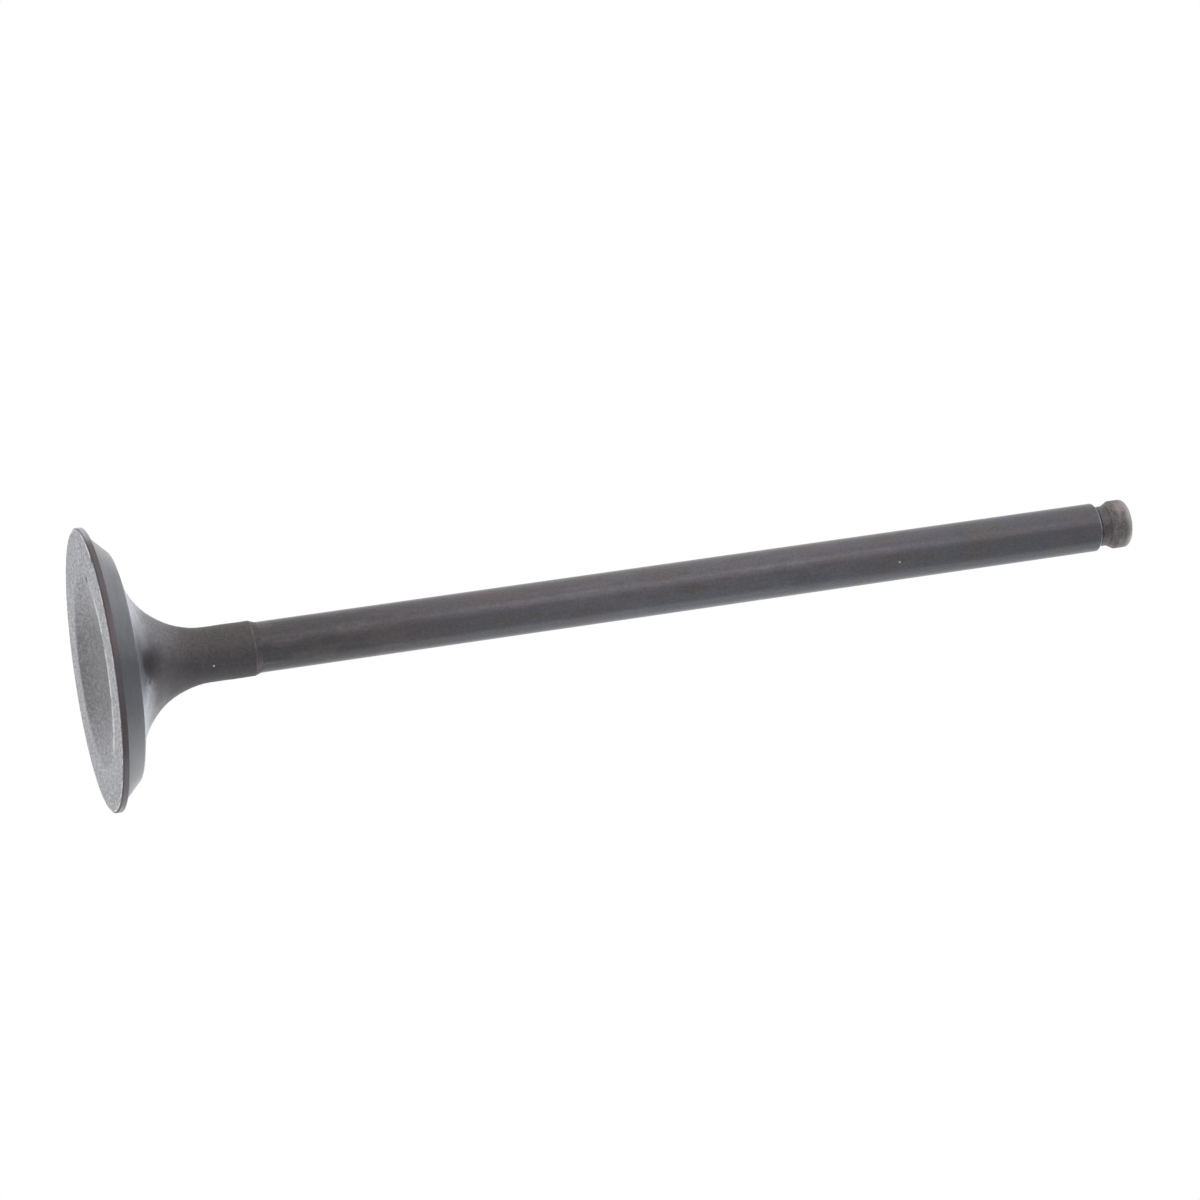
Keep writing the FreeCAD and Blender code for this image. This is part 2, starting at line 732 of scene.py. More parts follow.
class RoundPlace(Effect):
    """Place on a round part: radius, height, and a vector that has no seam round the axis."""

    title = "round place"
    takes = {"Place": None, "Around": 10.0, "Along": 100.0}
    gives = {"Place": VECTOR, "Radius": FLOAT, "Height": FLOAT}
    least_radius = 1e-5

    def draw(self, sheet: NodeSheet, entry: Sockets) -> Inputs:
        """Divides x and y by the radius, so that noise follows the part round its axis.

        Args:
            sheet: Node sheet of the group.
            entry: Inputs of the group.

        Returns:
            Socket for each output.
        """
        x, y, z = sheet.split(entry["Place"])
        radius = sheet.length(sheet.join(x, y, 0.0))
        least = sheet.reckon("MAXIMUM", radius, self.least_radius)
        share = sheet.reckon("DIVIDE", entry["Around"], least)
        flat = [sheet.reckon("MULTIPLY", part, share) for part in (x, y)]
        place = sheet.join(*flat, sheet.reckon("MULTIPLY", z, entry["Along"]))
        return {"Place": place, "Radius": radius, "Height": z}


class Grain(Effect):
    """Even speckle of a blasted, forged or scaled surface."""

    title = "grain"
    takes = {"Place": None, "Size": 0.0002, "Coarseness": NOISE_COARSENESS, "Slant": 1.0}
    gives = {"Value": FLOAT}

    def draw(self, sheet: NodeSheet, entry: Sockets) -> Inputs:
        """One noise of the grain's size, drawn out along Y where the blast came at a slant.

        Args:
            sheet: Node sheet of the group.
            entry: Inputs of the group.

        Returns:
            Socket for each output.
        """
        x, y, z = sheet.split(entry["Place"])
        place = sheet.join(x, sheet.reckon("DIVIDE", y, entry["Slant"]), z)
        scale = sheet.reckon("DIVIDE", 1.0, entry["Size"])
        return {"Value": sheet.noise_at(place, scale, entry["Coarseness"])}


class Streaks(Effect):
    """Marks drawn out along the stem or round it, by how Around and Along stretch them."""

    title = "streaks"
    takes = {"Place": None, "Around": 10.0, "Along": 100.0}
    gives = {"Value": FLOAT}

    def draw(self, sheet: NodeSheet, entry: Sockets) -> Inputs:
        """Noise on the seamless round place."""
        place = sheet.effect(RoundPlace(), {name: entry[name] for name in self.takes})["Place"]
        return {"Value": sheet.noise_at(place, 1.0, NOISE_COARSENESS)}


class EdgeWear(Effect):
    """Line along an edge that is rubbed or dirty, broken up along its length."""

    title = "edge wear"
    takes = {
        "Place": None,
        "Position": 0.0,
        "Edge": 0.0,
        "Width": 0.0003,
        "Breaks": 0.5,
        "Break Size": 0.001,
    }
    gives = {"Mask": FLOAT}
    broken_below, whole_above = 0.35, 0.6
    full_at = 0.6

    def draw(self, sheet: NodeSheet, entry: Sockets) -> Inputs:
        """Distance from the edge, thinned by noise.

        Args:
            sheet: Node sheet of the group.
            entry: Inputs of the group.

        Returns:
            Socket for each output.
        """
        off = sheet.reckon("ABSOLUTE", sheet.reckon("SUBTRACT", entry["Position"], entry["Edge"]))
        near = sheet.reckon("SUBTRACT", 1.0, sheet.reckon("DIVIDE", off, entry["Width"]))
        inputs = {"Place": entry["Place"], "Size": entry["Break Size"]}
        grain = sheet.effect(Grain(), inputs)["Value"]
        gaps = sheet.remap(grain, self.broken_below, self.whole_above, 1, 0)
        lack = sheet.reckon("MULTIPLY", gaps, entry["Breaks"])
        return {"Mask": sheet.remap(sheet.reckon("SUBTRACT", near, lack), 0, self.full_at)}


class Patch(Effect):
    """Roundish stain, pit or bare spot about a point, with an uneven border."""

    title = "patch"
    takes = {
        "Place": None,
        "Centre": None,
        "Reach": 0.001,
        "Unevenness": 0.6,
        "Softness": 0.4,
    }
    gives = {"Mask": FLOAT}
    grain_share = 0.5

    def draw(self, sheet: NodeSheet, entry: Sockets) -> Inputs:
        """Distance from the centre, made uneven by noise of half the patch's size.

        Args:
            sheet: Node sheet of the group.
            entry: Inputs of the group.

        Returns:
            Socket for each output.
        """
        ends = {0: entry["Place"], 1: entry["Centre"]}
        away = sheet.out("ShaderNodeVectorMath", ends, "Value", operation="DISTANCE")
        share = sheet.reckon("DIVIDE", away, entry["Reach"])
        size = sheet.reckon("MULTIPLY", entry["Reach"], self.grain_share)
        grain = sheet.effect(Grain(), {"Place": entry["Place"], "Size": size})["Value"]
        lean = sheet.reckon("SUBTRACT", grain, NOISE_MIDDLE)
        shift = sheet.reckon("MULTIPLY", lean, entry["Unevenness"])
        border = sheet.reckon("SUBTRACT", 1.0, sheet.reckon("ADD", share, shift))
        return {"Mask": sheet.remap(sheet.reckon("DIVIDE", border, entry["Softness"]), 0, 1)}


@dataclass
class Skin(NodeSheet):
    """Node sheet of a material, with the shared effects at the place on its surface.

    Args:
        here: Place on the surface, in metres.
    """

    here: Socket = field(init=False)

    def __post_init__(self) -> None:
        """Finds the place on the surface."""
        self.here = self.out("ShaderNodeTexCoord", output="Object")

    def radius(self) -> Socket:
        """Distance from the axis, in metres."""
        return self.effect(RoundPlace(), {"Place": self.here})["Radius"]

    def up(self) -> Socket:
        """Height above the face, in metres."""
        return self.effect(RoundPlace(), {"Place": self.here})["Height"]

    def grain(
        self, size: float, slant: float = 1.0, coarseness: float = NOISE_COARSENESS
    ) -> Socket:
        """Even grain of a size in millimetres."""
        inputs = {"Size": size * MM, "Coarseness": coarseness, "Slant": slant}
        return self.effect(Grain(), {"Place": self.here, **inputs})["Value"]

    def streaks(self, around: float, along: float) -> Socket:
        """Marks drawn out round the axis or along it, more so where the number is smaller."""
        inputs = {"Place": self.here, "Around": around, "Along": along}
        return self.effect(Streaks(), inputs)["Value"]

    def between(self, value: Socket, span: Span, most: float = 1.0) -> Socket:
        """How far a value in metres has come from one place to another in millimetres."""
        return self.remap(value, span[0] * MM, span[1] * MM, 0, most)

    def waver(self, value: Socket, grain: Socket, reach: float) -> Socket:
        """Value in metres, pushed about by a grain as far as a reach in millimetres."""
        lean = self.reckon("SUBTRACT", grain, NOISE_MIDDLE)
        return self.reckon("MULTIPLY_ADD", lean, reach * MM, value)

    def add(self, value: Socket, other: Socket, share: float) -> Socket:
        """Sum of a value and a share of another one."""
        return self.reckon("MULTIPLY_ADD", other, share, value)

    def stain(
        self, colour: Paint, other: Paint, grain: Socket, low: float, high: float, most: float = 1.0
    ) -> Socket:
        """Lays another colour on where a noise is high.

        Args:
            colour: Colour before the stain.
            other: Colour of the stain.
            grain: The noise.
            low: Noise at which the stain begins.
            high: Noise at which it is full.
            most: Its share where it is full.

        Returns:
            The stained colour.
        """
        return self.blend(self.remap(grain, low, high, 0, most), colour, other)


# ---------------------------------------------------------------- finishes


@dataclass(frozen=True)
class Spot:
    """A mark of its own on the surface.

    Args:
        place: Centre of the mark.
        reach: Radius of the mark.
        strength: How strong it is, beside the others of its kind.
    """

    place: tuple[float, float, float]
    reach: float
    strength: float = 1.0


@dataclass(frozen=True)
class Spots:
    """Marks of one kind.

    Args:
        colour: Colour of the marks.
        marks: The marks.
        strength: Share of their colour.
        unevenness: How uneven their borders are.
        softness: How soft their borders are.
    """

    colour: Colour
    marks: tuple[Spot, ...]
    strength: float = 1.0
    unevenness: float = 0.6
    softness: float = 0.4

    def lay_on(self, skin: Skin, colour: Socket) -> tuple[Socket, list[Socket]]:
        """Lays the marks on a colour.

        Args:
            skin: Node sheet of the material.
            colour: Colour before the marks.

        Returns:
            The marked colour, and a mask for each mark.
        """
        masks = []
        for mark in self.marks:
            inputs = {
                "Place": skin.here,
                "Centre": tuple(part * MM for part in mark.place),
                "Reach": mark.reach * MM,
                "Unevenness": self.unevenness,
                "Softness": self.softness,
            }
            masks.append(skin.effect(Patch(), inputs)["Mask"])
            share = skin.reckon("MULTIPLY", masks[-1], self.strength * mark.strength)
            colour = skin.blend(share, colour, self.colour)
        return colour, masks


@dataclass(frozen=True)
class WornEdge:
    """Edge that is rubbed or dirty, at one radius or height.

    Args:
        position: Radius or height of the edge.
        width: How far the wear reaches to either side.
        breaks: How much it is broken up.
        strength: Its share where it isn't broken.
        break_size: Size of the breaks.
    """

    position: float
    width: float
    breaks: float
    strength: float = 1.0
    break_size: float = 1.0

    def mask(self, skin: Skin, along: Socket) -> Socket:
        """Mask of the worn edge.

        Args:
            skin: Node sheet of the material.
            along: Radius or height on the surface, in metres.

        Returns:
            The strength on the edge, and 0 off it.
        """
        inputs = {
            "Place": skin.here,
            "Position": along,
            "Edge": self.position * MM,
            "Width": self.width * MM,
            "Breaks": self.breaks,
            "Break Size": self.break_size * MM,
        }
        return skin.reckon("MULTIPLY", skin.effect(EdgeWear(), inputs)["Mask"], self.strength)


@dataclass(frozen=True)
class Speckle:
    """Even grain of dark and light points.

    Args:
        size: Size of a grain.
        share: How much darker and lighter the points are than the rest.
        slant: How far the grain is drawn out along Y.
        coarseness: How much of the finer grain there is inside it.
    """

    size: float
    share: float
    slant: float = 1.0
    coarseness: float = 0.75

    def lay_on(self, skin: Skin, colour: Socket) -> tuple[Socket, Socket]:
        """Darkens and lightens a colour with the grain.

        Args:
            skin: Node sheet of the material.
            colour: Colour before the grain.

        Returns:
            The grained colour, and the grain itself.
        """
        grain = skin.grain(self.size, self.slant, self.coarseness)
        inputs = {0: colour, "Scale": skin.spread(grain, (1 - self.share, 1 + self.share))}
        return skin.out("ShaderNodeVectorMath", inputs, operation="SCALE"), grain


@dataclass(frozen=True)
class PaintedSideLight:
    """Tints of a part's two sides, by which its colour is multiplied: painted light and shade.

    Args:
        first: Tint towards -X.
        last: Tint towards +X.
        turn: Places along X between which the first turns into the last.
    """

    first: Colour
    last: Colour
    turn: Span

    def lay_on(self, skin: Skin, colour: Socket, share: Number = 1.0) -> Socket:
        """Tints a colour on the two sides, as painted light and shade.

        Args:
            skin: Node sheet of the material.
            colour: Colour before the tint.
            share: Share of the tint.

        Returns:
            The tinted colour.
        """
        across = skin.between(skin.split(skin.here)[0], self.turn)
        return skin.blend(share, colour, skin.blend(across, self.first, self.last), "MULTIPLY")


@dataclass(frozen=True)
class Finish:
    """Way in which a zone's steel was finished.

    Args:
        bump: Depth of the relief that the bump node draws.
        roughness: Roughness at the two ends of what it changes with.
        metallic: How metallic the surface is.
    """

    bump: float
    roughness: Span
    metallic: float = 1.0

    def material(self, name: str) -> bpy.types.Material:
        """Material of the finish.

        Args:
            name: Name of the material.

        Returns:
            The material, with its colour, roughness and relief from nodes.
        """
        made = bpy.data.materials.new(name)
        skin = Skin(emptied(made))
        colour, roughness, height = self.look(skin)
        inputs = {
            "Base Color": colour,
            "Metallic": self.metallic,
            "Roughness": roughness,
            "Normal": skin.out("ShaderNodeBump", {"Distance": self.bump * MM, "Height": height}),
        }
        skin.node("ShaderNodeOutputMaterial", {0: skin.out("ShaderNodeBsdfPrincipled", inputs)})
        return made

    def look(self, skin: Skin) -> Look:
        """Colour, roughness and height, which each finish draws for itself."""
        raise NotImplementedError


@dataclass(frozen=True)
class BlastedFace(Finish):
    """Light speckled grey of the combustion face, darker in the dish, with painted highlights on
    the rim and the rolled edge.

    Args:
        ring: Colour of the flat ring.
        dish: Colour of the middle of the dish.
        dots_and_side_shade: Colour of the painted shade on the dish's -Y side, and of the dark
            dots.
        bowl: Colour of the dish's two paler ends.
        bare: Colour of the light flecks in the dish, and of the painted highlights on the rim and
            the rolled edge.
        dish_edge: Radii between which the dish's colour turns into the ring's.
        shaded_side: Places along Y between which the painted shade sets in.
        bowl_edge: Distances from the centre between which the paler ends set in.
        bowl_oval: Height of the dish's darker middle as a share of its length along Y.
        rim: Painted highlight along the rim.
        roll: Painted highlight on a stretch of the dish's rolled edge.
        highlight_side: Places along Y between which that painted highlight sets in.
        grain: Grain of the blasted skin.
        pits: Pits in the ring.
    """

    bump: float = 0.03
    roughness: Span = (0.46, 0.4)
    ring: Colour = tone(157, 158, 163)
    dish: Colour = tone(82, 81, 87)
    # painted shade on the dish's -Y side, also the colour of the dark dots
    dots_and_side_shade: Colour = tone(44, 43, 47)
    bowl: Colour = tone(136, 136, 142)
    bare: Colour = tone(225, 224, 226)
    dish_edge: Span = (12.4, 13.6)
    shaded_side: Span = (2, -11)
    bowl_edge: Span = (4, 12)
    bowl_oval: float = 0.4
    # painted highlight along the rim
    rim: WornEdge = WornEdge(19.04, width=0.16, breaks=1.2, break_size=3)
    # painted highlight on the -Y stretch of the dish's rolled edge
    roll: WornEdge = WornEdge(13.6, width=0.9, breaks=0.8, strength=0.62, break_size=3)
    highlight_side: Span = (-6.2, -9.5)
    grain: Speckle = Speckle(size=0.38, share=0.32, slant=3.5, coarseness=0.6)
    pits: Spots = Spots(
        tone(58, 54, 56),
        (
            Spot((-12.05, -5.3, 0), 0.5),
            Spot((-12.1, -6.1, 0), 0.5),
            Spot((-12.55, -5.0, 0), 0.45),
            Spot((-16.57, -5.1, 0), 0.45),
            Spot((-14.2, -12.5, 0), 0.6),
        ),
        strength=0.9,
        unevenness=0.9,
        softness=0.5,
    )

    def look(self, skin: Skin) -> Look:
        """Blends the dish into the ring across its soft edge with painted shade towards -Y, grains
        it, paints highlights on the rim and the rolled edge, and pits it.

        Args:
            skin: Node sheet of the material.

        Returns:
            Colour, roughness and height.
        """
        radius = skin.radius()
        cloud = skin.grain(size=3)
        outside = skin.between(skin.waver(radius, cloud, reach=1.5), self.dish_edge)
        oval = {0: skin.here, 1: (1.0, self.bowl_oval, 0.0)}
        off = skin.length(skin.out("ShaderNodeVectorMath", oval, operation="MULTIPLY"))
        across = skin.split(skin.here)[1]
        # painted shade: the dish darkens towards -Y
        colour = skin.blend(skin.between(across, self.shaded_side), self.dish, self.dots_and_side_shade)
        colour = skin.blend(skin.between(off, self.bowl_edge), colour, self.bowl)
        colour = skin.blend(outside, colour, self.ring)
        colour = skin.stain(colour, self.dish, cloud, low=0.4, high=0.65, most=0.2)
        dots = skin.grain(size=0.55, slant=3)
        colour = skin.stain(colour, self.dots_and_side_shade, dots, low=0.56, high=0.66, most=0.3)
        flecks = skin.remap(skin.grain(size=0.45, slant=5), low=0.45, high=0.65, to_high=0.07)
        light = skin.reckon("MULTIPLY", flecks, skin.reckon("SUBTRACT", 1.0, outside))
        colour = skin.blend(light, colour, self.bare)
        colour, grain = self.grain.lay_on(skin, colour)
        # painted highlight: a broken bright line along the rim
        colour = skin.blend(self.rim.mask(skin, radius), colour, self.bare)
        # painted highlight on the -Y stretch of the dish's rolled edge
        near = skin.between(across, self.highlight_side)
        rubbed = skin.reckon("MULTIPLY", self.roll.mask(skin, radius), near)
        colour, pits = self.pits.lay_on(skin, skin.blend(rubbed, colour, self.bare))
        height = grain
        for pit in pits:
            height = skin.reckon("SUBTRACT", height, pit)
        return colour, skin.spread(grain, self.roughness), height


@dataclass(frozen=True)
class DarkMargin(Finish):
    """Brownish dark margin, turned and then left, with a painted highlight at its -X end.

    Args:
        brown: Main colour.
        grey: Colour where the brown is thinner.
        rubbed: Painted highlight on the margin's -X end.
    """

    metallic: float = 0.9
    bump: float = 0.01
    roughness: Span = (0.22, 0.32)
    brown: Colour = tone(104, 95, 98)
    grey: Colour = tone(106, 103, 107)
    # painted highlight on the margin's -X end
    rubbed: Spots = Spots(
        tone(160, 160, 165),
        (Spot((-19.0, -3.4, 0.6), 7.8),),
        strength=0.85,
        unevenness=0.3,
        softness=0.6,
    )

    def look(self, skin: Skin) -> Look:
        """Fine lines round the margin, over a slow change from brown to grey, and a painted
        highlight.

        Args:
            skin: Node sheet of the material.

        Returns:
            Colour, roughness and height.
        """
        slow = skin.streaks(around=2, along=300)
        fine = skin.streaks(around=12, along=9000)
        colour = skin.stain(self.brown, self.grey, slow, low=0.35, high=0.65)
        # painted highlight on the margin's -X end
        colour, _ = self.rubbed.lay_on(skin, colour)
        return colour, skin.spread(fine, self.roughness), fine


@dataclass(frozen=True)
class GroundSeat(Finish):
    """Smooth blue-grey seat, ground round the axis.

    Args:
        steel: Main colour.
        shade: Colour of the darker grinding lines.
        rubbed: Colour of its inner edge.
        edge: Rubbed inner edge.
    """

    bump: float = 0.004
    roughness: Span = (0.24, 0.32)
    steel: Colour = tone(127, 129, 134)
    shade: Colour = tone(108, 109, 114)
    rubbed: Colour = tone(150, 152, 157)
    edge: WornEdge = WornEdge(15.75, width=0.2, breaks=0.7, strength=0.5)

    def look(self, skin: Skin) -> Look:
        """Fine lines round the cone and a faint slow mottle.

        Args:
            skin: Node sheet of the material.

        Returns:
            Colour, roughness and height.
        """
        fine = skin.streaks(around=6, along=14000)
        slow = skin.streaks(around=3, along=500)
        colour = skin.stain(self.steel, self.shade, fine, low=0.35, high=0.7, most=0.5)
        colour = skin.stain(colour, self.shade, slow, low=0.45, high=0.7, most=0.4)
        colour = skin.blend(self.edge.mask(skin, skin.radius()), colour, self.rubbed)
        return colour, skin.spread(slow, self.roughness), fine


@dataclass(frozen=True)
class ForgedNeck(Finish):
    """Light bluish flare that darkens to the brown forged neck.

    Args:
        pale: Colour of the flare next to the seat.
        middle: Colour half way down the flare.
        brown: Colour of the neck.
        deep_marks_and_shade: Colour of the turning marks, and of the painted shade on the flare.
        rubbed: Colour of the edge at the neck's top.
        to_middle: Heights between which the pale tone turns into the middle one.
        to_brown: Heights between which the middle tone turns into the brown one.
        to_matt: Heights between which the surface turns matt.
        painted_shade_spots: Painted shade on the flare's -Y side, where it mirrors the stem and the
            camera's side.
        flecks: Bare specks on the neck.
        edge: Rubbed edge at the neck's top.
        grain: Grain of the forging scale.
        painted_side_light: Painted light and shade, lighter towards -X and darker towards +X.
    """

    metallic: float = 0.5
    bump: float = 0.03
    roughness: Span = (0.28, 0.5)
    pale: Colour = tone(177, 184, 196)
    middle: Colour = tone(124, 123, 128)
    brown: Colour = tone(88, 83, 84)
    deep_marks_and_shade: Colour = tone(66, 61, 62)
    rubbed: Colour = tone(132, 127, 128)
    to_middle: Span = (4.6, 7.6)
    to_brown: Span = (7.6, 13.5)
    to_matt: Span = (5, 10)
    # painted shade on the flare's -Y side
    painted_shade_spots: Spots = Spots(
        deep_marks_and_shade,
        (
            Spot((-1.4, -10.3, 5.6), 6.5, strength=0.45),
            Spot((2.2, -5.6, 9.3), 5.5, strength=0.5),
            Spot((0.1, -9.4, 5.8), 2.9, strength=0.7),
            Spot((0.3, -7.8, 7.0), 3.2, strength=0.45),
            Spot((2.6, -8.8, 6.0), 0.6, strength=0.85),
            Spot((2.6, -4.3, 10.8), 3.6, strength=0.35),
        ),
        unevenness=0.9,
        softness=0.7,
    )
    flecks: Spots = Spots(tone(215, 215, 218), (Spot((1.64, -3.43, 15.7), 0.16),))
    edge: WornEdge = WornEdge(21.68, width=0.22, breaks=0.6, strength=0.45)
    grain: Speckle = Speckle(size=0.3, share=0.22)
    # painted light and shade on the neck's two sides
    painted_side_light: PaintedSideLight = PaintedSideLight((1.12, 1.12, 1.1, 1.0), (0.87, 0.93, 0.96, 1.0), turn=(-3, 3))

    def look(self, skin: Skin) -> Look:
        """Colours by height, with scale grain, painted shade and bare specks on top.

        Args:
            skin: Node sheet of the material.

        Returns:
            Colour, roughness and height.
        """
        up = skin.up()
        uneven = skin.waver(up, skin.grain(size=2.2), reach=2.5)
        colour = skin.blend(skin.between(uneven, self.to_middle), self.pale, self.middle)
        to_brown = skin.between(uneven, self.to_brown)
        colour = skin.blend(to_brown, colour, self.brown)
        marks = skin.streaks(around=8, along=2500)
        colour = skin.stain(colour, self.deep_marks_and_shade, marks, low=0.45, high=0.7, most=0.2)
        # painted light and shade: lighter towards -X, darker towards +X
        colour = self.painted_side_light.lay_on(skin, colour, to_brown)
        colour, grain = self.grain.lay_on(skin, colour)
        # painted shade on the flare, then bare specks
        for spots in (self.painted_shade_spots, self.flecks):
            colour, _ = spots.lay_on(skin, colour)
        colour = skin.blend(self.edge.mask(skin, up), colour, self.rubbed)
        matt = skin.remap(uneven, *(height * MM for height in self.to_matt), *self.roughness)
        return colour, matt, skin.add(grain, marks, share=0.3)


@dataclass(frozen=True)
class NeckStep(Finish):
    """Short cone between the neck and the ground stem.

    Args:
        rubbed: Colour where it is rubbed.
        brown: Colour elsewhere.
    """

    bump: float = 0.01
    roughness: Span = (0.4, 0.5)
    rubbed: Colour = tone(94, 89, 90)
    brown: Colour = tone(86, 81, 82)

    def look(self, skin: Skin) -> Look:
        """Rubbed stretches that change round the cone.

        Args:
            skin: Node sheet of the material.

        Returns:
            Colour, roughness and height.
        """
        wear = skin.streaks(around=4, along=700)
        fine = skin.grain(size=0.2)
        colour = skin.stain(self.brown, self.rubbed, wear, low=0.35, high=0.6)
        return colour, skin.spread(fine, self.roughness), fine


@dataclass(frozen=True)
class NitridedStem(Finish):
    """Charcoal skin of the ground stem, browner near the neck and bluer near the tip, lighter in
    the middle partly as a painted highlight.

    Args:
        near_neck: Colour next to the neck.
        along: Colour of the middle of the stem, lighter than the ends partly as a painted
            highlight.
        near_tip: Colour next to the groove.
        warm: Colour of the browner patches.
        bare: Colour of bare metal, and of the painted highlight on the edge at the groove.
        shade: Colour of the darker streaks and clouds.
        to_along: Heights between which the first colour turns into the middle's.
        to_tip: Heights between which the middle's turns into the last.
        spots: Bare specks.
        edge: Painted highlight on the edge at the groove.
        grain: Grain of the skin.
        painted_side_light: Tints of the stem's two sides, lighter and bluer towards +X, partly a
            cooler skin and partly a painted reflection.
    """

    metallic: float = 0.5
    bump: float = 0.006
    roughness: Span = (0.24, 0.32)
    near_neck: Colour = tone(85, 81, 83)
    along: Colour = tone(106, 103, 109)
    near_tip: Colour = tone(96, 95, 102)
    warm: Colour = tone(102, 94, 95)
    bare: Colour = tone(200, 200, 205)
    shade: Colour = tone(84, 83, 88)
    to_along: Span = (24, 70)
    to_tip: Span = (90, 140)
    spots: Spots = Spots(
        bare, (Spot((0.98, -3.34, 115.1), 0.18), Spot((3.3, -1.04, 94.4), 0.16))
    )
    # painted highlight on the stem's end edge
    edge: WornEdge = WornEdge(146.56, width=0.17, breaks=0.6, strength=0.6, break_size=3)
    grain: Speckle = Speckle(size=0.35, share=0.15)
    # partly painted reflection: lighter and bluer towards +X
    painted_side_light: PaintedSideLight = PaintedSideLight(WHITE, (1.0, 1.085, 1.085, 1.0), turn=(-1, 2.6))

    def look(self, skin: Skin) -> Look:
        """Colours along the stem, lengthwise streaks, grinding marks, bare specks and a painted
        highlight on the end edge.

        Args:
            skin: Node sheet of the material.

        Returns:
            Colour, roughness and height.
        """
        up = skin.up()
        # lighter middle: partly painted highlight along the middle of the stem
        colour = skin.blend(skin.between(up, self.to_along), self.near_neck, self.along)
        colour = skin.blend(skin.between(up, self.to_tip), colour, self.near_tip)
        long = skin.streaks(around=9, along=60)
        marks = skin.streaks(around=5, along=1500)
        colour = skin.stain(colour, self.shade, long, low=0.45, high=0.75, most=0.35)
        cloud = skin.grain(size=4)
        colour = skin.stain(colour, self.shade, cloud, low=0.45, high=0.7, most=0.35)
        slow = skin.streaks(around=1.8, along=170)
        colour = skin.stain(colour, self.warm, slow, low=0.5, high=0.6, most=0.7)
        # partly painted reflection: lighter and bluer towards +X
        colour = self.painted_side_light.lay_on(skin, colour)
        colour, grain = self.grain.lay_on(skin, colour)
        colour, _ = self.spots.lay_on(skin, colour)
        # painted highlight: a thin light line on the stem's end edge
        colour = skin.blend(self.edge.mask(skin, up), colour, self.bare)
        return colour, skin.spread(long, self.roughness), skin.add(marks, grain, share=0.5)


@dataclass(frozen=True)
class ScaledTip(Finish):
    """Brownish speckled skin of the groove and of the tip land.

    Args:
        brown: Main colour.
        inner: Colour of the groove's floor.
        edge_highlight: Colour of the painted highlight on the tip's rounded edge.
        line: Colour of the painted shade in the groove's corners.
        dark: Colour of the turning marks.
        ground: Main colour of the ground end.
        polished: Colour of its lighter points.
        out_of_groove: Heights between which the floor's colour turns into the main one.
        to_edge_highlight: Heights between which the painted highlight sets in.
        to_ground: Heights between which the ground end sets in.
        grain: Grain of the scale.
        patches: Places where the scale is thin.
        corners: Painted shade at the slope's foot and under the groove's square wall.
    """

    bump: float = 0.03
    roughness: Span = (0.38, 0.5)
    brown: Colour = tone(123, 119, 119)
    inner: Colour = tone(108, 103, 104)
    # painted highlight on the tip's rounded edge
    edge_highlight: Colour = tone(186, 183, 184)
    # painted shade in the groove's corners
    line: Colour = tone(40, 36, 38)
    dark: Colour = tone(70, 65, 66)
    ground: Colour = tone(128, 126, 128)
    polished: Colour = tone(152, 150, 152)
    out_of_groove: Span = (148.1, 148.8)
    to_edge_highlight: Span = (150.3, 151.25)
    to_ground: Span = (151.42, 151.49)
    grain: Speckle = Speckle(size=0.25, share=0.3)
    patches: Spots = Spots(
        tone(156, 144, 141),
        (Spot((-2.5, -2.4, 150.0), 1.5),),
        strength=0.8,
        unevenness=1.2,
        softness=0.7,
    )
    # painted shade at the slope's foot and under the square wall
    corners: tuple[WornEdge, ...] = (
        WornEdge(148.4, width=0.2, breaks=0.3, strength=0.3),
        WornEdge(146.97, width=0.2, breaks=0.3, strength=0.6),
    )

    def look(self, skin: Skin) -> Look:
        """Grain and turning marks over brown, with a pinkish patch, a painted highlight on the
        rounded edge, a ground end and painted shade in the groove's corners.

        Args:
            skin: Node sheet of the material.

        Returns:
            Colour, roughness and height.
        """
        up = skin.up()
        marks = skin.streaks(around=4, along=3000)
        colour = skin.blend(skin.between(up, self.out_of_groove), self.inner, self.brown)
        colour = skin.stain(colour, self.dark, marks, low=0.4, high=0.65, most=0.3)
        colour, _ = self.patches.lay_on(skin, colour)
        colour, grain = self.grain.lay_on(skin, colour)
        # painted highlight on the tip's rounded edge
        colour = skin.blend(skin.between(up, self.to_edge_highlight, most=0.8), colour, self.edge_highlight)
        ground = skin.stain(self.ground, self.polished, grain, low=0.35, high=0.65)
        colour = skin.blend(skin.between(up, self.to_ground, most=0.9), colour, ground)
        # painted shade in the groove's corners
        for corner in self.corners:
            colour = skin.blend(corner.mask(skin, up), colour, self.line)
        return colour, skin.spread(grain, self.roughness), skin.add(grain, marks, share=0.5)


# ---------------------------------------------------------------- studio


